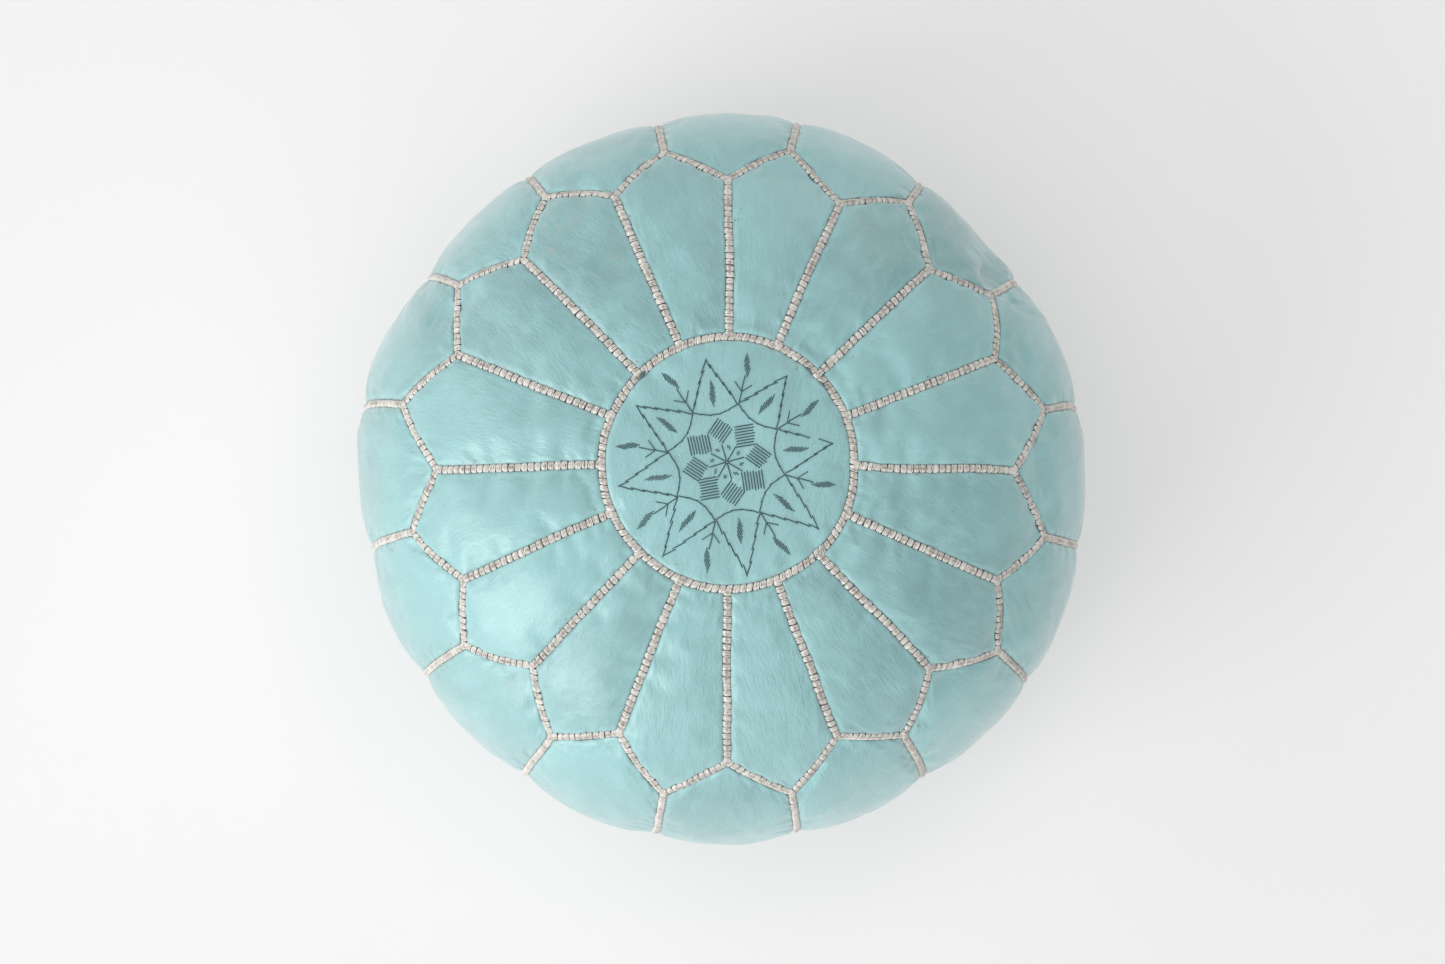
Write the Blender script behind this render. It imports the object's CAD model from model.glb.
"""The looks of a stuffed leather pouf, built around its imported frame. Metres, +Z up.

The cover is one grid of seams and panels, laid on the frame's profile and puffed out by a
cloth simulation with the seams held, then cut into its leather pieces. Thread bundles,
embroidery, the zip, the liner and the filling are laid on and in it.
"""
import math

import bpy
import numpy as np
from mathutils import Matrix, Vector
from mathutils.bvhtree import BVHTree
from mathutils.kdtree import KDTree


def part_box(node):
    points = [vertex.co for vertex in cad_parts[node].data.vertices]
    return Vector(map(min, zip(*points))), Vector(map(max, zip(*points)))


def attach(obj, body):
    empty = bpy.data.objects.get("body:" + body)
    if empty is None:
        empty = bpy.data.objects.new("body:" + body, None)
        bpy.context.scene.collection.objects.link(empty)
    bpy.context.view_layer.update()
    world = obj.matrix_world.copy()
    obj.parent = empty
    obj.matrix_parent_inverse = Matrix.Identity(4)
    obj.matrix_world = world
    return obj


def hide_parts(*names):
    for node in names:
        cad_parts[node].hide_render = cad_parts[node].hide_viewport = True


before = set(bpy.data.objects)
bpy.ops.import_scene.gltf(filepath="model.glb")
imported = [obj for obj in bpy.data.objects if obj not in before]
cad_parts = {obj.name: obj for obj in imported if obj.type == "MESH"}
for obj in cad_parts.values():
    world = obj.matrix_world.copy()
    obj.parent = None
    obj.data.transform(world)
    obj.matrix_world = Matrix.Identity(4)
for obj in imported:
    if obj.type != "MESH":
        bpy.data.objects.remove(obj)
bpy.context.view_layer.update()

# ---- sizes

MM = 0.001
PANELS = 16
SECTOR = 2 * math.pi / PANELS

body_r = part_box("side_panel_01")[1].x
body_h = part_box("medallion")[1].z
base_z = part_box("base_front")[0].z
base_r = -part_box("base_front")[0].x
leather_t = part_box("base_front")[1].z - base_z
medallion_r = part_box("medallion")[1].x
tip_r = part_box("petal_16")[1].x / math.cos(SECTOR / 2)
valley_r = tip_r - 28 * MM
waist_z = 0.46 * body_h
foot_r = 196 * MM
foot_inner_r = 172 * MM

seam_inset = 4.5 * MM      # how far the seams lie under the frame's outer surface
base_seam_inset = 1.2 * MM
bead_pitch = 4.7 * MM      # one thread bundle
bead_w = 5.2 * MM
bead_h = 1.45 * MM
bead_sunk = 0.75 * MM
thread_r = 0.56 * MM
tuck_deep = 2.0 * MM       # how far a panel's edge goes in beside its seam
tuck_w = 2.7 * MM

SECTOR_COLS = 24
COLS = PANELS * SECTOR_COLS
PETAL_ROWS = 30
SIDE_ROWS = 80
ROWS = PETAL_ROWS + SIDE_ROWS

random = np.random.default_rng(7)


# ---- noise

def hashed(ix, iy, iz, seed):
    """A fixed pseudo-random number from -1 to 1 for each lattice point."""
    with np.errstate(over="ignore"):
        h = (ix.astype(np.uint32) * np.uint32(374761393)
             + iy.astype(np.uint32) * np.uint32(668265263)
             + iz.astype(np.uint32) * np.uint32(2147483647)
             + np.uint32(seed * 144665 + 12345))
        h = (h ^ (h >> np.uint32(13))) * np.uint32(1274126177)
        h = h ^ (h >> np.uint32(16))
    return h.astype(np.float64) / 2147483647.5 - 1


def noise(points, size, seed):
    """Smooth value noise from about -1 to 1, whose lumps are about size across."""
    p = np.asarray(points) / size + 1000.0
    base = np.floor(p)
    f = p - base
    f = f * f * f * (f * (f * 6 - 15) + 10)
    i = base.astype(np.int64)
    total = 0
    for dx in (0, 1):
        wx = f[..., 0] if dx else 1 - f[..., 0]
        for dy in (0, 1):
            wy = f[..., 1] if dy else 1 - f[..., 1]
            for dz in (0, 1):
                wz = f[..., 2] if dz else 1 - f[..., 2]
                total = total + wx * wy * wz * hashed(
                    i[..., 0] + dx, i[..., 1] + dy, i[..., 2] + dz, seed)
    return total


def vector_noise(points, size, seed):
    return np.stack([noise(points, size, seed + k) for k in range(3)], axis=-1)


def smooth(x, low, high):
    t = np.clip((x - low) / (high - low), 0, 1)
    return t * t * (3 - 2 * t)


# ---- the body's profile

FLAT_POWER = 3.0           # as in the frame's own profile
SHOULDER_POWER = 2.2
TOP_STEPS = 200
SIDE_STEPS = 120
FLAT_STEPS = 20


def crown(r):
    u = np.minimum(r / body_r, 1)
    return waist_z + (body_h - waist_z) * (1 - u ** FLAT_POWER) ** (1 / SHOULDER_POWER)


def make_profile():
    """The half outline from the crown to the base, as radius, height and length along it."""
    top_r = body_r * np.sin(np.linspace(0, math.pi / 2, TOP_STEPS))
    a = np.linspace(0, math.pi / 2, SIDE_STEPS)[1:]
    r = np.concatenate([
        top_r,
        foot_r + (body_r - foot_r) * np.cos(a),
        np.linspace(foot_r, foot_inner_r, FLAT_STEPS)[1:],
        np.linspace(foot_inner_r, base_r, FLAT_STEPS)[1:],
    ])
    z = np.concatenate([
        crown(top_r),
        waist_z * (1 - np.sin(a)),
        np.zeros(FLAT_STEPS - 1),
        np.linspace(0, base_z, FLAT_STEPS)[1:],
    ])
    s = np.concatenate([[0], np.cumsum(np.hypot(np.diff(r), np.diff(z)))])
    return r, z, s


profile_r, profile_z, profile_s = make_profile()
profile_tr = np.gradient(profile_r, profile_s)
profile_tz = np.gradient(profile_z, profile_s)


def s_at_radius(r):
    """Length along the profile where its top part has this radius."""
    return np.interp(r, profile_r[:TOP_STEPS], profile_s[:TOP_STEPS])


def seam_depth(s):
    """How far a seam lies under the frame's surface: less where the base piece is flat."""
    end = profile_s[-1]
    return seam_inset + (base_seam_inset - seam_inset) * smooth(s, end - 26 * MM, end)


def on_profile(s, angle, deeper=0.0):
    """(point, outward normal) on the body, at the seams' depth plus deeper."""
    s, angle = np.broadcast_arrays(s, angle)
    inset = seam_depth(s) + deeper
    r = np.interp(s, profile_s, profile_r)
    z = np.interp(s, profile_s, profile_z)
    tr = np.interp(s, profile_s, profile_tr)
    tz = np.interp(s, profile_s, profile_tz)
    length = np.hypot(tr, tz)
    nr, nz = -tz / length, tr / length
    ca, sa = np.cos(angle), np.sin(angle)
    normal = np.stack([nr * ca, nr * sa, nz + 0 * angle], axis=-1)
    point = np.stack([r * ca, r * sa, z + 0 * angle], axis=-1) - normal * inset[..., None]
    return point, normal


# How far the stuffing pushes the outline out or leaves it flat: angle and half width in
# degrees, mm at the widest part
OUTLINE = [(43, 13, -6.5), (166, 12, 7.0), (229, 20, -4.0), (303, 16, -4.5), (80, 14, 1.5)]


def settle(p):
    """Sewing and stuffing are never even: shifts points by a few millimetres, less at the foot."""
    angle = np.degrees(np.arctan2(p[..., 1], p[..., 0]))
    out = 0
    for middle, width, amount in OUTLINE:
        turn = (angle - middle + 180) % 360 - 180
        out = out + amount * MM * np.exp(-(turn / width) ** 2)
    out = out * (np.hypot(p[..., 0], p[..., 1]) / body_r) ** 2 * smooth(p[..., 2], 0.01, 0.12)
    angle = np.radians(angle)
    p = p + out[..., None] * np.stack([np.cos(angle), np.sin(angle), 0 * angle], axis=-1)
    free = smooth(p[..., 2], 0.0, 0.09)[..., None]
    lumps = vector_noise(p, 0.16, 11) * 3.2 * MM + vector_noise(p, 0.06, 21) * 0.9 * MM
    lumps[..., 2] *= 0.8
    lumps = lumps + vector_noise(p, 0.028, 31) * 0.45 * MM
    return p + lumps * free


# Seams pulled in (below 0) or let out, in mm, at a few valleys and tips
VALLEY_PULL = {0: -2, 2: -5, 3: -2, 5: 3, 10: -2, 12: 4, 13: 3, 15: 2}
TIP_PULL = {1: -5, 5: 2, 8: -4, 9: -3, 11: 4, 12: 3, 14: 3}

# Places where the stuffing gave way: angle, radius and size in mm, depth in mm
PINCHES = [(37.5, 235, 11, 9.0), (42, 240, 14, 3.0), (-30, 232, 16, 3.0), (152, 228, 14, 2.0)]


def near_spot(p, angle, r, size):
    """1 over a spot on the top, in degrees and mm, that fades to 0 around it."""
    a = math.radians(angle)
    away = np.hypot(p[..., 0] - r * MM * math.cos(a), p[..., 1] - r * MM * math.sin(a))
    return np.exp(-(away / (size * MM)) ** 2)


def pinched(point, normal, wider=1.0):
    for angle, r, size, deep in PINCHES:
        dent = deep * MM * near_spot(point, angle, r, size * wider)
        point = point - normal * (dent * smooth(point[..., 2], waist_z, waist_z + 0.03))[..., None]
    return point


def outline_r(column):
    """Plan radius of the zigzag between the petals and the side panels at a column."""
    half = SECTOR_COLS // 2
    c = column % COLS
    k = c // SECTOR_COLS
    rest = c % SECTOR_COLS
    if rest <= half:
        valley, tip = k, k
        share = rest / half
    else:
        valley, tip = (k + 1) % PANELS, k
        share = (SECTOR_COLS - rest) / half
    rv = valley_r + VALLEY_PULL.get(valley, 0) * MM
    rt = tip_r + TIP_PULL.get(tip, 0) * MM
    # straight in plan from the valley to the tip
    dx, dy = rt * math.cos(SECTOR / 2) - rv, rt * math.sin(SECTOR / 2)
    angle = share * SECTOR / 2
    # point on the line at that polar angle, moved out where the petal's edge bows
    t = rv * math.sin(angle) / (dy * math.cos(angle) - dx * math.sin(angle))
    bow = (1.9 + 0.9 * math.sin(5 * k + 2 * (rest <= half))) * MM
    return math.hypot(rv + t * dx, t * dy) + bow * 4 * t * (1 - t)


def cover_grid():
    """Rows from the medallion's seam to the base's, columns round the body."""
    angle = np.arange(COLS) * 2 * math.pi / COLS
    s_ring = float(s_at_radius(medallion_r))
    s_zig = s_at_radius(np.array([outline_r(c) for c in range(COLS)]))
    s_base = profile_s[-1]
    rows = []
    for j in range(PETAL_ROWS + 1):
        rows.append(s_ring + (s_zig - s_ring) * j / PETAL_ROWS)
    for j in range(1, SIDE_ROWS + 1):
        rows.append(s_zig + (s_base - s_zig) * j / SIDE_ROWS)
    s = np.array(rows)
    point, normal = on_profile(s, np.broadcast_to(angle, s.shape))
    return pinched(settle(point), normal), normal


# ---- meshes

def new_object(name, vertices, faces, materials=()):
    mesh = bpy.data.meshes.new(name)
    mesh.from_pydata([tuple(v) for v in vertices], [], faces)
    mesh.update()
    mesh.polygons.foreach_set("use_smooth", [True] * len(mesh.polygons))
    for m in materials:
        mesh.materials.append(m)
    obj = bpy.data.objects.new(name, mesh)
    bpy.context.scene.collection.objects.link(obj)
    return obj


def grid_faces(rows, cols, wrap=False, flip=False):
    faces = []
    last = cols if wrap else cols - 1
    for j in range(rows - 1):
        for i in range(last):
            a, b = j * cols + i, j * cols + (i + 1) % cols
            quad = (a, a + cols, b + cols, b)
            faces.append(quad[::-1] if flip else quad)
    return faces


def add_attribute(obj, name, values):
    layer = obj.data.attributes.new(name, "FLOAT", "POINT")
    layer.data.foreach_set("value", np.asarray(values, np.float32).ravel())


def grid_normals(p):
    du = np.gradient(p, axis=1)
    dv = np.gradient(p, axis=0)
    n = np.cross(dv, du)
    return n / np.maximum(np.linalg.norm(n, axis=-1, keepdims=True), 1e-12)


def resample(p, rows_at, cols_at):
    """The grid p at fractional rows and columns, on smooth curves through its points."""
    for at in (rows_at, cols_at):
        padded = np.concatenate([2 * p[:1] - p[1:2], p, 2 * p[-1:] - p[-2:-1]])
        i = np.clip(np.floor(at).astype(int), 0, len(p) - 2)
        t = (at - i).reshape(-1, 1, 1)
        a, b, c, d = (padded[i + k] for k in range(4))
        p = b + 0.5 * t * (c - a + t * (2 * a - 5 * b + 4 * c - d + t * (3 * (b - c) + d - a)))
        p = np.swapaxes(p, 0, 1)
    return p


def crowded(count, last, crowd):
    """count positions from 0 to last that crowd towards both ends."""
    t = np.linspace(0, 1, count)
    return last * (t - crowd * np.sin(2 * math.pi * t) / (2 * math.pi))


def lengths_along(p):
    """Length along axis 0 from the first point of each column."""
    step = np.linalg.norm(np.diff(p, axis=0), axis=-1)
    return np.concatenate([np.zeros((1, p.shape[1])), np.cumsum(step, axis=0)])


def declare(obj, node):
    """Every piece made here rides on the pouf and stands for one CAD node."""
    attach(obj, "pouf")
    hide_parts(node)


def thicken(obj, thickness):
    """Gives a sheet its thickness, inwards."""
    shell = obj.modifiers.new("thickness", "SOLIDIFY")
    shell.thickness = thickness
    shell.offset = -1


# ---- the cloth simulation

def puff(obj, pinned, stretch, pressure, frames, cap):
    """Where obj's points go under Blender's cloth with pressure, by cap at most.

    Pinned points stay. The cloth is cut larger than its shape by stretch.
    """
    rest = np.array([v.co for v in obj.data.vertices])
    pins = obj.vertex_groups.new(name="pins")
    pins.add([int(i) for i in np.flatnonzero(pinned)], 1.0, "REPLACE")
    cloth = obj.modifiers.new("Cloth", "CLOTH")
    c = cloth.settings
    c.quality = 5
    c.mass = 0.25
    c.tension_stiffness = c.compression_stiffness = 18
    c.shear_stiffness = 8
    c.bending_stiffness = 2.5
    c.tension_damping = c.compression_damping = c.shear_damping = 8
    c.air_damping = 2
    c.vertex_group_mass = "pins"
    c.shrink_min = -stretch
    c.use_pressure = True
    c.uniform_pressure_force = pressure
    c.effector_weights.gravity = 0
    cloth.collision_settings.use_collision = False
    cloth.point_cache.frame_start = 1
    cloth.point_cache.frame_end = frames
    scene = bpy.context.scene
    for f in range(1, frames + 1):
        scene.frame_set(f)
    evaluated = obj.evaluated_get(bpy.context.evaluated_depsgraph_get())
    out = np.array([v.co for v in evaluated.data.vertices])
    obj.modifiers.remove(cloth)
    obj.vertex_groups.remove(pins)
    scene.frame_set(1)
    moved = out - rest
    length = np.linalg.norm(moved, axis=1, keepdims=True)
    limit = cap * np.tanh(length / cap)
    return rest + moved * np.where(length > 1e-9, limit / np.maximum(length, 1e-9), 0)


def seam_mask():
    pinned = np.zeros((ROWS + 1, COLS), bool)
    pinned[0] = pinned[PETAL_ROWS] = pinned[ROWS] = True
    pinned[:PETAL_ROWS + 1, ::SECTOR_COLS] = True
    pinned[PETAL_ROWS:, SECTOR_COLS // 2::SECTOR_COLS] = True
    return pinned


cover, cover_normal = cover_grid()
shell = new_object("cover_cloth", cover.reshape(-1, 3), grid_faces(ROWS + 1, COLS, wrap=True))
puffed = puff(shell, seam_mask().ravel(), stretch=0.02, pressure=4.0, frames=20, cap=14 * MM)
puffed = puffed.reshape(cover.shape)
bpy.data.objects.remove(shell)


# ---- materials

class Nodes:
    """Short calls for building one material's node tree."""

    def __init__(self, name):
        self.material = bpy.data.materials.new(name)
        self.material.use_nodes = True
        self.tree = self.material.node_tree
        self.shader = self.tree.nodes["Principled BSDF"]

    def add(self, kind, inputs=(), **settings):
        node = self.tree.nodes.new("ShaderNode" + kind)
        for key, value in settings.items():
            setattr(node, key, value)
        for key, value in dict(inputs).items():
            self.put(node.inputs[key], value)
        return node

    def put(self, socket, value):
        if isinstance(value, bpy.types.NodeSocket):
            self.tree.links.new(value, socket)
        else:
            socket.default_value = value

    def set(self, **inputs):
        for key, value in inputs.items():
            self.put(self.shader.inputs[key.replace("_", " ")], value)

    def math(self, operation, a, b=0.0):
        return self.add("Math", {0: a, 1: b}, operation=operation).outputs[0]

    def ramp(self, value, low, high, to_low=0.0, to_high=1.0):
        node = self.add("MapRange", {0: value, 1: low, 2: high, 3: to_low, 4: to_high},
                        interpolation_type="SMOOTHSTEP")
        return node.outputs[0]

    def mix(self, share, a, b):
        return self.add("Mix", {0: share, 6: a, 7: b}, data_type="RGBA").outputs[2]

    def over(self, under, mask, share, colour):
        """A colour laid over another by mask times share."""
        return self.mix(self.math("MULTIPLY", mask, share), under, colour)

    def attribute(self, name):
        return self.add("Attribute", attribute_name=name).outputs["Fac"]

    def place(self):
        return self.add("TexCoord").outputs["Object"]

    def noise(self, vector, scale, detail=2.0, roughness=0.5, distortion=0.0):
        node = self.add("TexNoise", {"Vector": vector, "Scale": scale, "Detail": detail,
                                     "Roughness": roughness, "Distortion": distortion})
        return node.outputs["Fac"]

    def stretch(self, vector, x, y, z):
        node = self.add("VectorMath", {0: vector, 1: (x, y, z)}, operation="MULTIPLY")
        return node.outputs[0]

    def bump(self, height, distance, strength=1.0, normal=None):
        node = self.add("Bump", {"Height": height, "Distance": distance, "Strength": strength})
        if normal is not None:
            self.put(node.inputs["Normal"], normal)
        return node.outputs["Normal"]


def rgb(r, g, b):
    """A colour given as it looks on screen, from 0 to 255."""
    def linear(v):
        v /= 255
        return v / 12.92 if v <= 0.04045 else ((v + 0.055) / 1.055) ** 2.4
    return (linear(r), linear(g), linear(b), 1.0)


def leather_material(name, colour):
    """Dyed and glazed goatskin: mottled, finely grained, rubbed pale, dark under the thread."""
    n = Nodes(name)
    at = n.place()
    hide = n.add("Attribute", attribute_name="hide").outputs["Vector"]
    drawn = n.stretch(hide, 1, 0.5, 1)
    broad = n.noise(at, 9, 3)
    patchy = n.noise(hide, 34, 4, 0.6)
    strokes = n.noise(drawn, 120, 5, 0.62, 0.5)
    specks = n.noise(hide, 420, 2, 0.5)
    tone = n.attribute("tone")
    worn = n.attribute("worn")
    seam = n.attribute("seam")
    pale = rgb(*[min(255, v * 1.08 + 5) for v in colour])
    deep = rgb(*[v * 0.92 for v in colour])
    skin = n.mix(n.ramp(broad, 0.35, 0.65), deep, rgb(*colour))
    skin = n.over(skin, n.ramp(patchy, 0.42, 0.72), 0.4, pale)
    skin = n.over(skin, n.ramp(tone, -1.0, 1.0), 0.4, pale)
    skin = n.over(skin, n.ramp(strokes, 0.5, 0.75), 0.34, pale)
    skin = n.over(skin, n.ramp(specks, 0.6, 0.85), 0.3, deep)
    # rubbed through to the undyed skin, in streaks
    rub = n.math("MULTIPLY", worn, n.ramp(n.noise(drawn, 110, 5, 0.7, 1.0), 0.5, 0.68))
    skin = n.over(skin, rub, 0.62, rgb(176, 186, 178))
    # soil and shadow where the thread goes in, and a polished ridge beside it
    ridge = n.math("MULTIPLY", n.ramp(seam, 3.4, 4.6), n.ramp(seam, 8.0, 5.0))
    skin = n.over(skin, ridge, 0.3, pale)
    soil = n.math("MULTIPLY", n.ramp(seam, 8.0, 3.0), n.ramp(n.noise(at, 95, 3, 0.6), 0.5, 0.72))
    skin = n.over(skin, soil, 0.4, rgb(128, 138, 132))
    spots = n.math("MULTIPLY", n.ramp(seam, 13.0, 5.0), n.ramp(n.noise(at, 210, 2, 0.4), 0.73, 0.79))
    skin = n.over(skin, spots, 0.7, rgb(142, 112, 86))
    skin = n.over(skin, n.ramp(seam, 3.4, 2.5), 0.85, rgb(76, 80, 78))
    # grain: pebbles with fine creases between them, and longer creases along the hide
    pebbles = n.add("TexVoronoi", {"Vector": n.stretch(hide, 1, 0.75, 1), "Scale": 640.0},
                    feature="SMOOTH_F1").outputs["Distance"]
    creases = n.math("ABSOLUTE", n.math("SUBTRACT", n.noise(drawn, 300, 3, 0.55, 0.3), 0.5))
    strands = n.noise(n.stretch(hide, 1, 0.4, 1), 560, 2, 0.5, 0.6)
    ripples = n.noise(n.stretch(hide, 1, 0.35, 1), 240, 2, 0.5, 0.8)
    undulation = n.noise(n.stretch(hide, 1, 0.5, 1), 70, 3, 0.5)
    normal = n.bump(pebbles, 0.0003, 0.6)
    normal = n.bump(n.ramp(creases, 0.0, 0.15), 0.00014, 0.45, normal)
    normal = n.bump(strands, 0.0006, 0.5, normal)
    normal = n.bump(ripples, 0.0010, 0.5, normal)
    normal = n.bump(undulation, 0.0016, 0.5, normal)
    n.set(Base_Color=skin, Normal=normal)
    gloss = n.math("ADD", patchy, n.math("MULTIPLY", strokes, 0.5))
    n.set(Roughness=n.math("ADD", n.ramp(gloss, 0.5, 1.0, 0.43, 0.31), n.math("MULTIPLY", rub, 0.2)))
    n.set(IOR=1.45, Sheen_Weight=0.22, Sheen_Roughness=0.35, Coat_Weight=0.9, Coat_Roughness=0.42)
    return n.material


def thread_material(name, colour, soiled, roughness):
    """Waxed cotton: twisted, pale at the outside of each loop and soiled in the middle."""
    n = Nodes(name)
    at = n.place()
    mid = n.attribute("mid")
    tone = n.attribute("tone")
    dirt = n.ramp(n.noise(at, 150, 4, 0.65), 0.38, 0.68)
    base = n.mix(n.ramp(tone, -1.0, 1.0), rgb(*[v * 0.9 for v in colour]), rgb(*colour))
    share = n.math("MULTIPLY", mid, n.math("ADD", n.math("MULTIPLY", dirt, 0.7), 0.18))
    base = n.mix(share, base, rgb(*soiled))
    fibre = n.noise(at, 2600, 2, 0.6)
    n.set(Base_Color=n.over(base, n.ramp(fibre, 0.55, 0.8), 0.25, rgb(*soiled)))
    n.set(Normal=n.bump(fibre, 0.00012, 0.6), Roughness=roughness)
    return n.material


def plain_material(name, colour, roughness, metallic=0.0):
    n = Nodes(name)
    at = n.place()
    wear = n.noise(at, 60, 3)
    dark = rgb(*[v * 0.86 for v in colour])
    n.set(Base_Color=n.mix(n.ramp(wear, 0.3, 0.7), dark, rgb(*colour)))
    n.set(Normal=n.bump(n.noise(at, 900, 3), 0.0001, 0.6), Roughness=roughness, Metallic=metallic)
    return n.material


leather = leather_material("leather", (146, 191, 193))
thread_white = thread_material("seam_thread", (250, 246, 240), (146, 134, 120), 0.8)
star_thread = thread_material("star_thread", (70, 98, 107), (52, 74, 82), 0.6)
liner_cloth = plain_material("liner_cloth", (232, 226, 212), 0.9)
wadding = plain_material("wadding", (236, 232, 222), 0.95)
base_leather = leather_material("base_leather", (142, 182, 184))
tape_cloth = plain_material("zip_tape", (120, 158, 160), 0.8)
brass = plain_material("brass", (196, 160, 96), 0.32, metallic=1.0)


# ---- leather panels

def looped(a):
    return np.concatenate([a, a[:1]])


def gather_seams():
    """Every seam of the cover as a line of points, for distances to the nearest seam."""
    lines = [looped(cover[row]) for row in (0, PETAL_ROWS, ROWS)]
    lines += [cover[:PETAL_ROWS + 1, c] for c in range(0, COLS, SECTOR_COLS)]
    lines += [cover[PETAL_ROWS:, c] for c in range(SECTOR_COLS // 2, COLS, SECTOR_COLS)]
    return lines


def measured(line):
    """Length along a polyline at each of its points."""
    return np.concatenate([[0], np.cumsum(np.linalg.norm(np.diff(line, axis=0), axis=1))])


def points_along(values, length, at):
    """What a polyline's points, or the values at them, are at the lengths in at."""
    return np.stack([np.interp(at, length, values[:, k]) for k in range(values.shape[1])], axis=-1)


def dense(line, step):
    """Points along a polyline every step or so."""
    length = measured(line)
    count = max(2, int(round(length[-1] / step)) + 1)
    return points_along(line, length, np.linspace(0, length[-1], count))


samples = np.concatenate([dense(line, 1.5 * MM) for line in gather_seams()])
tree = KDTree(len(samples))
for k, v in enumerate(samples):
    tree.insert(v, k)
tree.balance()


def seam_distance(points):
    flat = points.reshape(-1, 3)
    return np.array([tree.find(v)[2] for v in flat]).reshape(points.shape[:-1])


# Soft folds pressed into the top: angle and radius of the middle, direction, length, how
# many side by side, distance apart and depth, in degrees and mm
FOLDS = [
    (-27, 222, -62, 42, 5, 6.5, 0.9),
    (-36, 205, -20, 26, 3, 5.0, 0.5),
    (29, 241, -8, 30, 2, 5.0, 1.1),
    (22, 203, -40, 30, 3, 6.0, 0.6),
    (41, 238, -42, 40, 2, 6.0, 0.35),
    (239, 197, -12, 46, 5, 5.0, 0.55),
    (256, 188, 60, 30, 3, 6.0, 0.4),
    (207, 172, 120, 40, 3, 8.0, 0.35),
    (-58, 214, 10, 24, 3, 5.0, 0.5),
    (100, 214, 80, 26, 3, 5.0, 0.4),
    (152, 225, 60, 30, 3, 6.0, 0.5),
    (-3, 214, 95, 26, 3, 5.0, 0.45),
]


def folds_at(p):
    """Depth of the folds of FOLDS at points on the top."""
    depth = np.zeros(p.shape[:-1])
    wobble = noise(p, 0.02, 81) * 1.6 * MM
    for k, (angle, r, direction, length, count, apart, deep) in enumerate(FOLDS):
        a, d = math.radians(angle), math.radians(direction)
        x = p[..., 0] - r * MM * math.cos(a)
        y = p[..., 1] - r * MM * math.sin(a)
        along = x * math.cos(d) + y * math.sin(d)
        across = -x * math.sin(d) + y * math.cos(d) + wobble
        for j in range(count):
            place = (j - (count - 1) / 2) * apart * MM
            shift = math.sin(3.1 * j + k) * 0.2 * length * MM
            size = length * MM * (0.36 + 0.1 * math.sin(2.3 * j + k))
            sharp = np.exp(-((across - place) / (1.5 * MM)) ** 2)
            sharp = sharp - 0.45 * np.exp(-((across - place - 2.6 * MM) / (1.9 * MM)) ** 2)
            depth += deep * MM * sharp * np.exp(-(np.abs(along - shift) / size) ** 3)
    return depth * smooth(p[..., 2], 0.15, 0.19)


# Where a side panel swells over its seam: angle, radius and size in mm, mm outwards
SWELLS = [(37, 247, 12, 1.0), (-28, 246, 16, 2.5)]


def swells_at(p):
    out = np.zeros(p.shape[:-1])
    for angle, r, size, amount in SWELLS:
        out += amount * MM * near_spot(p, angle, r, size)
    return out * smooth(p[..., 2], waist_z, waist_z + 0.04)


# Rubbed places on the top: angle, radius and size in mm, strength
WORN = [(126, 196, 34, 1.0), (118, 170, 26, 0.7), (133, 150, 20, 0.5), (60, 190, 30, 0.5),
        (-20, 176, 26, 0.45), (225, 225, 30, 0.5), (300, 190, 24, 0.35), (75, 130, 18, 0.4)]


def worn_at(p):
    worn = np.zeros(p.shape[:-1])
    for angle, r, size, strength in WORN:
        worn = np.maximum(worn, strength * near_spot(p, angle, r, size))
    return worn


def leather_attributes(obj, seam, hide, tone, worn):
    """What the leather's material reads: mm to the nearest seam, place on the hide, tone, wear."""
    add_attribute(obj, "seam", np.minimum(seam / MM, 40))
    add_attribute(obj, "tone", np.full(seam.shape, tone))
    add_attribute(obj, "worn", worn)
    spin, shift = random.uniform(-0.5, 0.5), random.uniform(-3, 3, 3)
    turned = np.stack([hide[..., 0] * math.cos(spin) - hide[..., 1] * math.sin(spin),
                       hide[..., 0] * math.sin(spin) + hide[..., 1] * math.cos(spin),
                       0 * seam], axis=-1) + shift
    layer = obj.data.attributes.new("hide", "FLOAT_VECTOR", "POINT")
    layer.data.foreach_set("vector", turned.astype(np.float32).ravel())


def soft_piece(obj, node):
    """A leather sheet over the stuffing."""
    thicken(obj, leather_t)
    declare(obj, node)


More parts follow.
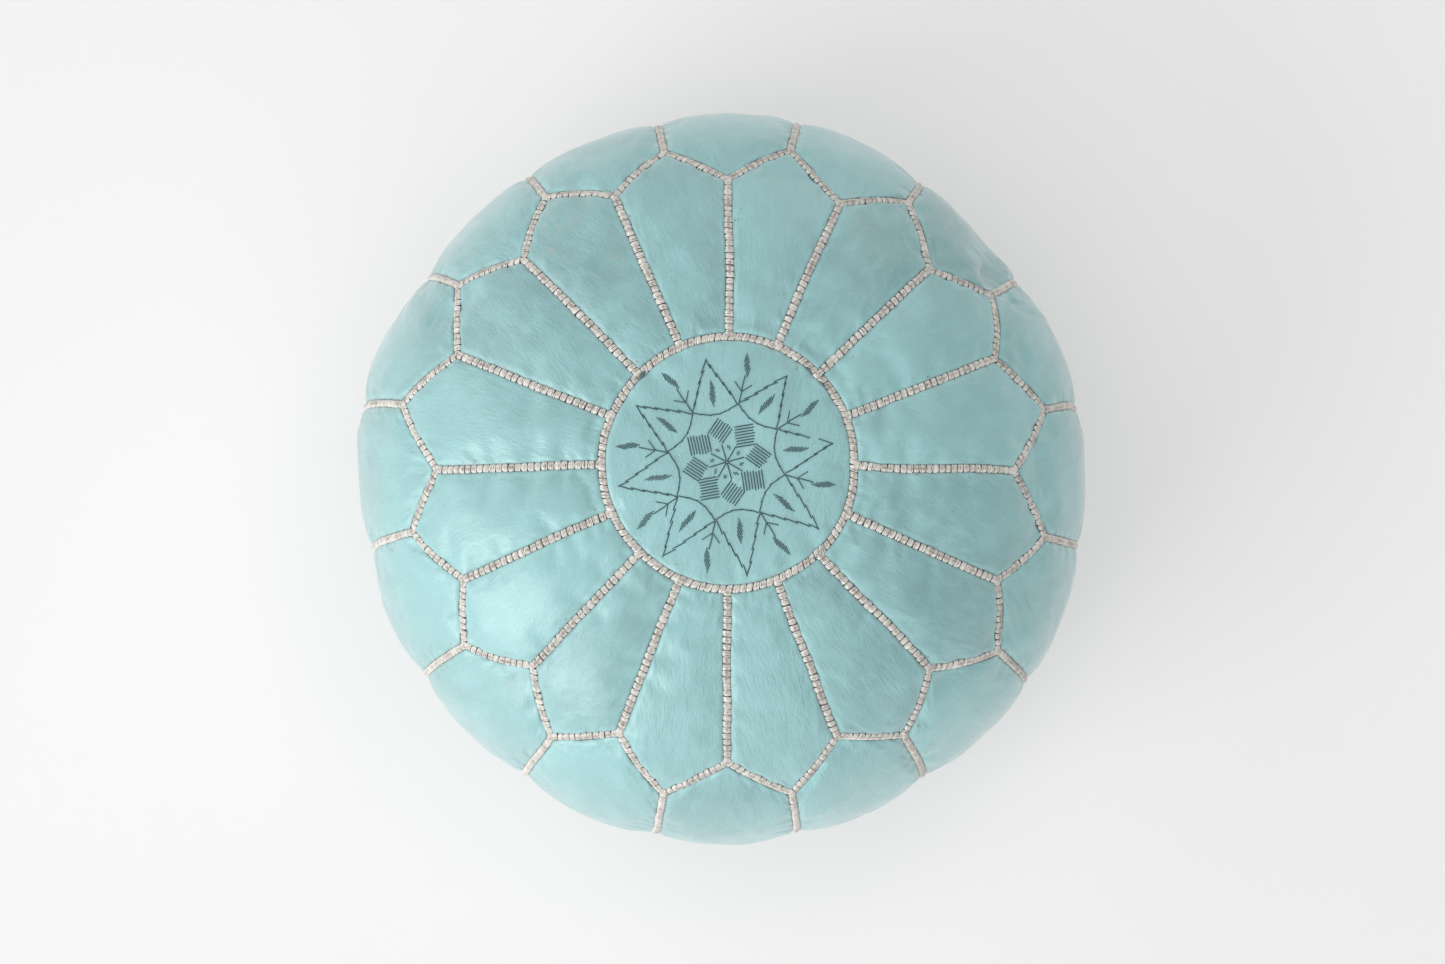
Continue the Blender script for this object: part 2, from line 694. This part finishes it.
def leather_piece(name, grid, node, counts, crowd, flip=False):
    """Makes one panel from its grid: finer, tucked in at its seams, and thick."""
    p = resample(grid, crowded(counts[0], len(grid) - 1, crowd),
                 crowded(counts[1], grid.shape[1] - 1, crowd))
    d = seam_distance(p)
    n = grid_normals(p)
    if flip:
        n = -n
    across = np.swapaxes(lengths_along(np.swapaxes(p, 0, 1)), 0, 1)
    across = across - across[:, across.shape[1] // 2][:, None]
    hide = np.stack([across, lengths_along(p)], axis=-1)
    tuck = -tuck_deep * np.exp(-(d / tuck_w) ** 2)
    away = smooth(d, 1 * MM, 7 * MM)
    stretched = np.stack([hide[..., 0], hide[..., 1] * 0.5, 0 * d], axis=-1) + random.uniform(-9, 9)
    wrinkle = noise(stretched, 0.010, 41) * 0.22 * MM + noise(p, 0.024, 42) * 0.5 * MM
    gathers = noise(stretched, 0.0045, 43) * 0.25 * MM * np.exp(-((d - 6 * MM) / (5 * MM)) ** 2)
    p = p + n * (tuck + gathers + (wrinkle + swells_at(p) - folds_at(p)) * away)[..., None]
    # pressed flat where it stands on the floor
    p[..., 2] = np.maximum(p[..., 2] - 1.6 * MM * smooth(p[..., 2], 0.04, 0.0), 0.0)
    rows, cols = p.shape[:2]
    obj = new_object(name, p.reshape(-1, 3), grid_faces(rows, cols, flip=flip), [leather])
    leather_attributes(obj, d, hide, random.uniform(-1, 1), worn_at(p))
    soft_piece(obj, node)
    return obj


# ---- medallion

DISC = 56


def disc_points(radius):
    """A square grid bent into a disc: plan x and y."""
    edge = np.linspace(-1, 1, DISC)
    u, v = np.meshgrid(edge, edge)
    return radius * u * np.sqrt(1 - v * v / 2), radius * v * np.sqrt(1 - u * u / 2)


def make_medallion():
    x, y = disc_points(medallion_r)
    p = settle(on_profile(s_at_radius(np.hypot(x, y)), np.arctan2(y, x))[0])
    cloth = new_object("medallion_cloth", p.reshape(-1, 3), grid_faces(DISC, DISC, flip=True))
    rim = np.ones((DISC, DISC), bool)
    rim[1:-1, 1:-1] = False
    p = puff(cloth, rim.ravel(), stretch=0.012, pressure=4.0, frames=16,
             cap=8 * MM).reshape(p.shape)
    bpy.data.objects.remove(cloth)
    return leather_piece("medallion_leather", p, "medallion", (111, 111), 0.3, flip=True)


def columns(first):
    return [(first + k) % COLS for k in range(SECTOR_COLS + 1)]


medallion = make_medallion()
for i in range(1, PANELS + 1):
    petal_cols = columns((i - 1) * SECTOR_COLS)
    leather_piece(f"petal_{i:02d}_leather", puffed[:PETAL_ROWS + 1][:, petal_cols],
                  f"petal_{i:02d}", (63, 57), 0.55)
    side_cols = columns((i - 1) * SECTOR_COLS - SECTOR_COLS // 2)
    leather_piece(f"side_panel_{i:02d}_leather", puffed[PETAL_ROWS:][:, side_cols],
                  f"side_panel_{i:02d}", (151, 57), 0.55)


# ---- thread bundles

def tube_row(paths, radius, sides):
    """Vertices and faces of many tubes at once: paths is (tubes, points, 3)."""
    count, points = paths.shape[:2]
    along = np.gradient(paths, axis=1)
    along /= np.maximum(np.linalg.norm(along, axis=-1, keepdims=True), 1e-12)
    up = np.cross(along[:, :1], along[:, -1:])
    guide = np.where(np.linalg.norm(up, axis=-1, keepdims=True) > 1e-6, up, [[[0.3, 0.5, 0.8]]])
    side = np.cross(along, np.broadcast_to(guide, along.shape))
    side /= np.maximum(np.linalg.norm(side, axis=-1, keepdims=True), 1e-12)
    other = np.cross(along, side)
    a = np.arange(sides) * 2 * math.pi / sides
    ring = (side[:, :, None] * np.cos(a)[None, None, :, None]
            + other[:, :, None] * np.sin(a)[None, None, :, None])
    radii = radius * np.ones((count, points)) if np.isscalar(radius) else radius
    v = paths[:, :, None] + ring * radii[:, :, None, None]
    faces = []
    for t in range(count):
        o = t * points * sides
        for j in range(points - 1):
            for k in range(sides):
                m = (k + 1) % sides
                faces.append((o + j * sides + k, o + j * sides + m,
                              o + (j + 1) * sides + m, o + (j + 1) * sides + k))
        faces.append(tuple(o + k for k in range(sides))[::-1])
        faces.append(tuple(o + (points - 1) * sides + k for k in range(sides)))
    return v.reshape(-1, 3), faces


def thread_attributes(obj, paths, sides, mid=0.0):
    """mid: 1 at the middle of each strand, 0 at its ends; tone: one value a strand."""
    count, points = paths.shape[:2]
    u = np.linspace(-1, 1, points)
    middle = mid * np.exp(-(u / 0.45) ** 2)
    add_attribute(obj, "mid", np.broadcast_to(middle[None, :, None], (count, points, sides)))
    tone = np.clip(random.normal(0, 0.5, count), -1, 1)
    add_attribute(obj, "tone", np.broadcast_to(tone[:, None, None], (count, points, sides)))


def bead_paths(line, normals, steps=7, slant=0.25 * MM):
    """Thread bundles wrapped over a seam: four strands that spread in the middle."""
    length = measured(line)
    count = int(round(length[-1] / bead_pitch))
    middle = (np.arange(count) + 0.5) * length[-1] / count
    centre = points_along(line, length, middle)
    tangent = (points_along(line, length, middle + 1 * MM)
               - points_along(line, length, middle - 1 * MM))
    tangent /= np.linalg.norm(tangent, axis=1, keepdims=True)
    normal = points_along(normals, length, middle)
    across = np.cross(normal, tangent)
    across /= np.linalg.norm(across, axis=1, keepdims=True)
    normal = np.cross(tangent, across)
    u = np.linspace(-1, 1, steps)
    slant = slant + random.normal(0, 0.12 * MM, (count, 1))
    high_bead = bead_h * random.uniform(0.88, 1.12, (count, 1))
    spread = np.sqrt(np.maximum(0, 1 - u ** 2)) * 0.36 + 0.64
    rise = 1 - np.abs(u) ** 2.6
    strands = []
    for place in (-1.5, -0.5, 0.5, 1.5):
        off = place * 2 * thread_r * 0.98
        inner = 0.0 if abs(place) < 1 else 0.22 * MM
        wide = bead_w / 2 * random.uniform(0.93, 1.07, (count, 1))
        slide = random.normal(0, 0.10 * MM, (count, 1))
        high = (high_bead - inner) * random.uniform(0.93, 1.07, (count, 1))
        lean = slant + random.normal(0, 0.1 * MM, (count, 1))
        path = (centre[:, None]
                + across[:, None] * (wide * u)[..., None]
                + tangent[:, None] * (off * spread + slide + lean * u)[..., None]
                + normal[:, None] * (high * rise - bead_sunk)[..., None])
        strands.append(path)
    return np.concatenate(strands)


def thread_piece(name, node, material, paths, radius, mid=0.0):
    sides = 6
    v, f = tube_row(paths, radius, sides)
    obj = new_object(name, v, f, [material])
    thread_attributes(obj, paths, sides, mid)
    declare(obj, node)


def stitched(name, lines, node, **shape):
    paths = np.concatenate([bead_paths(line, normals, **shape) for line, normals in lines])
    thread_piece(name, node, thread_white, paths, thread_r, mid=1.0)


ring_seam = (looped(cover[0]), looped(cover_normal[0]))
zigzag_seam = (looped(cover[PETAL_ROWS]), looped(cover_normal[PETAL_ROWS]))
petal_seams = [(cover[:PETAL_ROWS + 1, c], cover_normal[:PETAL_ROWS + 1, c])
               for c in range(0, COLS, SECTOR_COLS)]
side_seams = [(cover[PETAL_ROWS:, c], cover_normal[PETAL_ROWS:, c])
              for c in range(SECTOR_COLS // 2, COLS, SECTOR_COLS)]
stitched("medallion_stitching_thread", [ring_seam], "medallion_stitching", slant=0.9 * MM)
stitched("petal_stitching_thread", petal_seams, "petal_stitching")
stitched("zigzag_stitching_thread", [zigzag_seam], "zigzag_stitching", slant=0.6 * MM)
for quarter in range(4):
    stitched(f"side_stitching_thread_{quarter + 1}", side_seams[quarter * 4:quarter * 4 + 4],
             "side_stitching", steps=6)
base_normal = cover_normal[ROWS] + np.array([0, 0, -0.6])
base_seam = looped(cover[ROWS] - np.array([0, 0, 0.5 * MM])), looped(base_normal)
stitched("base_stitching_thread", [base_seam], "base_stitching", steps=6)


# ---- base

slot_half_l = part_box("zip_tape_back")[1].x - 2 * MM
slot_half_w = 7 * MM
hem_w = 8 * MM
zip_seam_y = 9.9 * MM


def base_half(name, node, side):
    """One half of the base, side -1 at the front and 1 at the back, hemmed along the zip."""
    near = np.array([0, 0.5, 1.1, 1.7, 2.2, 2.6, 2.9, 3.2, 3.7, 4.6, 6, 7, 7.6, 8.1, 8.7, 10]) * MM
    rows, cols = len(near) + 40, 180
    angle = np.linspace(math.radians(1.2), math.radians(178.8), cols)
    edge_r = base_r + 0.4 * MM
    x = edge_r * np.cos(angle)
    y_in = 0.15 * MM + slot_half_w * smooth(np.abs(x), slot_half_l, slot_half_l - 5 * MM)
    length = edge_r * np.sin(angle) - y_in
    length = np.maximum(length, 0.5 * MM)
    share = np.linspace(0, 1, rows)[:len(near), None]
    d = np.minimum(near[:, None], length * share)
    rest = np.linspace(0, 1, rows - len(near) + 1)[1:, None]
    d = np.concatenate([d, d[-1] + (length - d[-1]) * rest])
    y = y_in + d
    p = np.stack([x + 0 * d, side * y, base_z + 0 * d], axis=-1)
    r = np.hypot(p[..., 0], y)
    out = edge_r - r
    hem = smooth(d, hem_w + 0.6 * MM, hem_w - 0.6 * MM) * smooth(np.abs(x), slot_half_l, 0.13)
    puff_out = smooth(d, 12 * MM, 45 * MM) * smooth(out, 0, 26 * MM)
    z = base_z + 1.0 * MM * smooth(out, 7 * MM, 0) + 1.5 * MM * np.exp(-(out / (2.4 * MM)) ** 2)
    z -= 0.6 * MM * hem + 2.6 * MM * puff_out * (1 + 0.4 * noise(p, 0.05, 71))
    z += 0.35 * MM * np.exp(-((y - zip_seam_y) / (0.8 * MM)) ** 2) * (np.abs(x) < slot_half_l)
    z -= 0.18 * MM * noise(p, 0.012, 72) * smooth(d, 9 * MM, 20 * MM)
    p[..., 2] = z
    obj = new_object(name, p.reshape(-1, 3), grid_faces(rows, cols, flip=side > 0), [base_leather])
    leather_attributes(obj, np.maximum(out, 0), p[..., :2], random.uniform(-0.5, 0.5), 0 * out)
    soft_piece(obj, node)


base_half("base_front_leather", "base_front", -1)
base_half("base_back_leather", "base_back", 1)


# ---- the star

def surface_at(obj):
    """A function from plan points to points on top of obj."""
    evaluated = obj.evaluated_get(bpy.context.evaluated_depsgraph_get())
    mesh = evaluated.to_mesh()
    bvh = BVHTree.FromPolygons([v.co.copy() for v in mesh.vertices],
                               [tuple(f.vertices) for f in mesh.polygons])
    evaluated.to_mesh_clear()

    def drop(x, y):
        hit = bvh.ray_cast(Vector((x, y, 1.0)), Vector((0, 0, -1)))
        return hit[0].z

    return drop


star_thread_r = 0.44 * MM
leaf_thread_r = 0.35 * MM
star_centre = np.array([-3.4 * MM, -0.2 * MM])


def polar(angle, r):
    """A plan point at an angle in degrees and at a share of the medallion's radius."""
    return r * medallion_r * np.array([math.cos(math.radians(angle)), math.sin(math.radians(angle))])


def stem_stitches(line, pitch=8.4 * MM, length=10.6 * MM, lean=0.95 * MM, radius=star_thread_r):
    """Overlapping slanted stitches along a plan polyline."""
    line = np.asarray(line)
    step = measured(line)
    count = max(1, int(round(step[-1] / pitch)))
    found = []
    for k in range(count):
        a = k * step[-1] / count
        ends = points_along(line, step, [a, min(a + length, step[-1])])
        d = ends[1] - ends[0]
        side = np.array([-d[1], d[0]]) / max(np.hypot(*d), 1e-9)
        slant = lean * random.uniform(0.6, 1.3)
        found.append((ends[0] + side * slant, ends[1] - side * slant * 0.5, radius))
    return found


def hatch(middle, direction, count, length, spacing, stagger, taper=0.2, radius=leaf_thread_r):
    """Parallel stitches side by side, each moved on a little, shorter at both ends of the row."""
    d = np.array([math.cos(math.radians(direction)), math.sin(math.radians(direction))])
    side = np.array([-d[1], d[0]])
    found = []
    for k in range(count):
        t = k - (count - 1) / 2
        size = length * (1 - taper * abs(t) / max((count - 1) / 2, 1)) * random.uniform(0.93, 1.07)
        c = middle + side * spacing * t + d * (stagger * t + random.normal(0, 0.25 * MM))
        found.append((c - d * size / 2, c + d * size / 2, radius))
    return found


def star_stitches():
    first, step = 11.3, 45.0
    tip = [0.85, 0.835, 0.83, 0.84, 0.87, 0.895, 0.905, 0.895]
    sway = [-0.7, -0.7, 0.6, 1.9, 1.7, -0.1, -0.5, -1.6]      # degrees, as it was marked by hand
    found = []
    for k in range(8):
        a = first + k * step + sway[k]
        after = first + (k + 2) * step + sway[(k + 2) % 8]
        reach = tip[k]
        # one line: from this tip over two crossings to the tip after next
        bow = [polar(a + (after - a) * (0.25 + t / 2), 0.47 - 0.092 * math.sin(math.pi * t) ** 0.8)
               for t in np.linspace(0, 1, 7)]
        line = stem_stitches([polar(a, reach), bow[0]])
        found += [line[0]] + line[2:] if k == 0 else line      # one stitch has come out
        found += stem_stitches(bow, pitch=7 * MM, length=8 * MM, lean=0.3 * MM)
        found += stem_stitches([bow[-1], polar(after, tip[(k + 2) % 8])])
        # leaf inside the point
        found += hatch(polar(a, 0.55), a + 14, 6, 9 * MM, 1.05 * MM, -2.0 * MM)
        # block of the inner ring
        found += hatch(polar(a, 0.25), a - 46, 7 + k % 2, 13.4 * MM, 1.95 * MM, 0.1 * MM, 0.0,
                       star_thread_r)
        # spoke and the small marks between spokes
        found.append((polar(a + 4.5, 0.004), polar(a + 4.5, 0.145), star_thread_r))
        found += hatch(polar(a + step * 0.6, 0.115), a + step * 0.6 + 8, 2, 2.4 * MM, 1.2 * MM,
                       0.8 * MM, 0.0)
        # sprig outside the crossing
        b = a + step / 2
        found += stem_stitches([polar(b, 0.47), polar(b, 0.70)], lean=0.3 * MM)
        for side in (-1, 1):
            found.append((polar(b, 0.565), polar(b + side * 6.4, 0.64), star_thread_r * 0.85))
        found += hatch(polar(b, 0.78), b - 8, 6, 8.8 * MM, 1.05 * MM, 1.8 * MM)
    return [(p + star_centre, q + star_centre, radius) for p, q, radius in found]


def make_star():
    drop = surface_at(medallion)
    lift = np.array([-0.7, 0.12, 0.22, 0.22, 0.12, -0.7]) * MM
    t = np.array([0, 0.06, 0.3, 0.7, 0.94, 1])[:, None]
    paths, radii = [], []
    for a, b, radius in star_stitches():
        plan = a + (b - a) * t
        paths.append([(x, y, drop(x, y) + up) for (x, y), up in zip(plan, lift)])
        radii.append(np.full(len(t), radius))
    thread_piece("star_embroidery_thread", "star_embroidery", star_thread,
                 np.array(paths), np.array(radii))


make_star()


# ---- zip

teeth_low, teeth_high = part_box("zip_teeth_back")
tape_low, tape_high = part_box("zip_tape_back")
zip_mid_z = (teeth_low.z + teeth_high.z) / 2
tooth_pitch = 4 * MM


def lockstitches(name, node, radius=0.42 * MM, pitch=3.6 * MM):
    """Rows of short sewn stitches along the zip's hem, and a bar of them across each end."""
    paths = []
    t = np.array([0, 0.08, 0.3, 0.7, 0.92, 1])
    drop = np.array([0.7, 0.1, -0.25, -0.25, 0.1, 0.7]) * MM
    level = base_z - 0.15 * MM
    count = int(2 * slot_half_l / pitch)
    for side in (-1, 1):
        for k in range(count):
            x = (k - count / 2) * pitch + t * pitch * 0.9
            y = side * zip_seam_y + random.normal(0, 0.12 * MM) + 0 * t
            paths.append(np.stack([x, y, level + drop], axis=-1))
        for k in range(9):
            x = side * (slot_half_l + 0.7 * MM) + (k % 2) * side * 0.8 * MM + 0 * t
            y = (k - 4) * 2.1 * MM + (t - 0.5) * 2.4 * MM
            paths.append(np.stack([x, y, level + drop], axis=-1))
    thread_piece(name, node, thread_white, np.array(paths), radius)


def zip_tape(name, node, side):
    """A woven ribbon with a thick corded edge beside the teeth."""
    across = np.array([0, 0.25, 0.6, 1.0, 1.4, 1.8, 2.2, 3, 5, 8, 11, 13.4, 14]) * MM
    half_t = 0.28 * MM
    cord = 0.55 * MM * np.exp(-((across - 0.8 * MM) / (0.55 * MM)) ** 2)
    x = np.linspace(-tape_high.x, tape_high.x, 160)
    wave = 0.10 * MM * np.sin(x * 47 + side)
    middle = (tape_low.z + tape_high.z) / 2
    rings = []
    for half, order in ((-1, slice(None)), (1, slice(None, None, -1))):
        z = middle + half * (half_t + cord) + wave[:, None]
        y = side * (tape_low.y + across) + 0 * z
        rings.append(np.stack([x[:, None] + 0 * z, y, z], axis=-1)[:, order])
    p = np.concatenate(rings, axis=1)
    obj = new_object(name, p.reshape(-1, 3),
                     grid_faces(p.shape[0], p.shape[1], wrap=True, flip=side > 0)
                     + [tuple(range(p.shape[1])),
                        tuple(range((len(x) - 1) * p.shape[1], p.size // 3))[::-1]],
                     [tape_cloth])
    declare(obj, node)


def zip_teeth(name, node, side):
    """Cast teeth clamped round the tape's cord. The slider's web passes between their heads."""
    inner, outer = 0.36 * MM, teeth_high.y
    sides, squareness = 14, 0.55
    at = np.array([0, 0.10, 0.26, 0.6, 1.0, 1.4, 1.8, 2.5, 3.1, 3.5]) * MM + inner
    wide = np.array([0.25, 0.62, 0.84, 0.88, 0.72, 0.62, 0.78, 0.95, 0.9, 0.4]) * MM
    tall = np.array([0.5, 1.15, 1.4, 1.45, 1.35, 1.35, 1.55, 1.65, 1.6, 1.1]) * MM
    at = np.minimum(at, outer)
    a = (np.arange(sides) + 0.5) * 2 * math.pi / sides
    cx, cz = (np.sign(w) * np.abs(w) ** squareness for w in (np.cos(a), np.sin(a)))
    count = int(2 * teeth_high.x / tooth_pitch)
    v, f = [], []
    for k in range(count):
        mid = (k - (count - 1) / 2) * tooth_pitch + side * tooth_pitch / 4
        o = len(v)
        for y, w, h in zip(at, wide, tall):
            v += [(mid + w * i, side * y, zip_mid_z + h * j) for i, j in zip(cx, cz)]
        for j in range(len(at) - 1):
            row = o + j * sides
            for i in range(sides):
                m = (i + 1) % sides
                quad = (row + i, row + m, row + sides + m, row + sides + i)
                f.append(quad if side < 0 else quad[::-1])
        head = tuple(range(o, o + sides))
        heel = tuple(range(o + sides * (len(at) - 1), o + sides * len(at)))
        f.append(head[::-1] if side < 0 else head)
        f.append(heel if side < 0 else heel[::-1])
    declare(new_object(name, v, f, [brass]), node)


def bevel_cad(node, width):
    """Rounds the sharp edges of a CAD node kept as it is."""
    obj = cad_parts[node]
    weld = obj.modifiers.new("weld", "WELD")
    weld.merge_threshold = 0.01 * MM
    bevel = obj.modifiers.new("rounded", "BEVEL")
    bevel.width = width
    bevel.segments = 3
    bevel.limit_method = "ANGLE"
    bevel.angle_limit = math.radians(35)
    bevel.harden_normals = True
    obj.data.materials.clear()
    obj.data.materials.append(brass)


zip_tape("zip_tape_front_ribbon", "zip_tape_front", -1)
zip_tape("zip_tape_back_ribbon", "zip_tape_back", 1)
zip_teeth("zip_teeth_front_metal", "zip_teeth_front", -1)
zip_teeth("zip_teeth_back_metal", "zip_teeth_back", 1)
lockstitches("zip_stitching_thread", "zip_stitching")
for metal_node, edge_width in (("zip_stops", 0.4), ("zip_slider", 0.35), ("zip_pull", 0.3)):
    bevel_cad(metal_node, edge_width * MM)


# ---- liner and filling

def inner_body(name, deeper, node, material, lumps, thick=None):
    """A closed stuffed form inside the cover, with a flat recess over the zip."""
    cols, rows = 128, 72
    angle = np.arange(cols) * 2 * math.pi / cols
    s = np.linspace(4 * MM, profile_s[-1] - 12 * MM, rows)
    p, n = on_profile(*np.meshgrid(s, angle, indexing="ij"), deeper=deeper)
    p = pinched(settle(p), n, 1.6) - n * (lumps * (0.5 + 0.5 * noise(p, 0.05, 61)))[..., None]
    floor_z = 3 * MM
    roof = 18 * MM + deeper * 0.4
    over = smooth(np.hypot(p[..., 0], p[..., 1]), base_r + 22 * MM, base_r + 4 * MM)
    low = p[..., 2] < 60 * MM
    p[..., 2] = np.where(low, np.maximum(p[..., 2], floor_z + over * (roof - floor_z)), p[..., 2])
    rim = (base_r - 4 * MM) * np.stack([np.cos(angle), np.sin(angle)], axis=-1)
    p = np.concatenate([p, [np.column_stack([rim, np.full(cols, roof)])]])
    rows += 1
    v = np.concatenate([p.reshape(-1, 3), [[0, 0, p[0, :, 2].mean()], [0, 0, roof]]])
    faces = grid_faces(rows, cols, wrap=True)
    top, foot = rows * cols, rows * cols + 1
    last = (rows - 1) * cols
    faces += [(top, i, (i + 1) % cols) for i in range(cols)]
    faces += [(foot, last + (i + 1) % cols, last + i) for i in range(cols)]
    obj = new_object(name, v, faces, [material])
    if thick:
        thicken(obj, thick)
    declare(obj, node)


inner_body("liner_bag", 4.5 * MM, "liner", liner_cloth, 1 * MM, thick=0.8 * MM)
inner_body("filling_wadding", 9 * MM, "filling", wadding, 3 * MM)


# ---- floor, light, camera

def make_stage():
    """A pale floor that curves up into a round wall, and a dim even sky."""
    n = Nodes("studio_paper")
    away = n.add("VectorMath", {0: n.stretch(n.place(), 1, 1, 0)}, operation="LENGTH")
    # plain near the pouf, for its shadows, and glowing further out
    far = n.ramp(away.outputs["Value"], 0.3, 0.8)
    near_colour, far_colour = (0.66, 0.64, 0.634, 1), (0.38, 0.378, 0.377, 1)
    near_glow, more_glow = 0.275, 0.235
    n.set(Base_Color=n.mix(far, near_colour, far_colour))
    n.set(Emission_Strength=n.math("ADD", n.math("MULTIPLY", far, more_glow), near_glow))
    n.set(Emission_Color=(1, 1, 1, 1), Roughness=0.9)
    wall_r, curve, height, sides = 9.0, 2.0, 4.0, 96
    bend = np.linspace(0, math.pi / 2, 12)
    r = np.concatenate([[0.001, 3.0], wall_r - curve + curve * np.sin(bend), [wall_r]])
    z = np.concatenate([[0, 0], curve - curve * np.cos(bend), [height]])
    a = np.arange(sides) * 2 * math.pi / sides
    v = np.stack([np.outer(r, np.cos(a)), np.outer(r, np.sin(a)),
                  np.broadcast_to(z[:, None], (len(r), sides))], axis=-1)
    faces = grid_faces(len(r), sides, wrap=True) + [tuple(range(sides))]
    floor = new_object("floor", v.reshape(-1, 3), faces, [n.material])
    world = bpy.data.worlds.new("studio")
    world.use_nodes = True
    sky = world.node_tree.nodes["Background"].inputs
    sky["Color"].default_value = (1, 1, 1, 1)
    sky["Strength"].default_value = 0.07
    bpy.context.scene.world = world


def area_light(name, place, width, height, power, glossy=True):
    """A soft box that faces the pouf, unseen, and not reflected either if not glossy."""
    data = bpy.data.lights.new(name, "AREA")
    data.shape = "RECTANGLE"
    data.size = width
    data.size_y = height
    data.energy = power
    obj = bpy.data.objects.new(name, data)
    obj.location = place
    direction = Vector((0, 0, 0.15)) - Vector(place)
    obj.rotation_euler = direction.to_track_quat("-Z", "Y").to_euler()
    obj.visible_camera = False
    obj.visible_glossy = glossy
    bpy.context.scene.collection.objects.link(obj)


def make_camera():
    """Almost straight above, a little to the front and left, with +Y up in the picture."""
    data = bpy.data.cameras.new("camera")
    data.sensor_width = 36
    data.lens = 89
    camera = bpy.data.objects.new("camera", data)
    bpy.context.scene.collection.objects.link(camera)
    target = Vector((-0.0012, -0.0012, 0.155))
    elevation, azimuth, distance = math.radians(85.6), math.radians(-22), 2.6
    back = Vector((math.sin(azimuth) * math.cos(elevation),
                   -math.cos(azimuth) * math.cos(elevation), math.sin(elevation)))
    up = Vector((0, 1, 0))
    right = up.cross(back).normalized()
    up = back.cross(right)
    camera.matrix_world = Matrix.Translation(target + back * distance) @ Matrix(
        (right, up, back)).transposed().to_4x4()
    bpy.context.scene.camera = camera


make_stage()
area_light("window", (-2.55, -1.85, 1.85), 2.3, 1.9, 66)
area_light("wall", (-2.9, 1.1, 2.2), 3.4, 2.2, 25)
area_light("front", (0.4, -3.0, 2.1), 2.6, 1.8, 12)
area_light("back", (1.2, 2.9, 2.2), 2.6, 1.8, 18)
area_light("ceiling", (0.1, -0.3, 3.4), 4.2, 4.2, 66, glossy=False)
make_camera()
bpy.context.scene.view_settings.view_transform = "Standard"
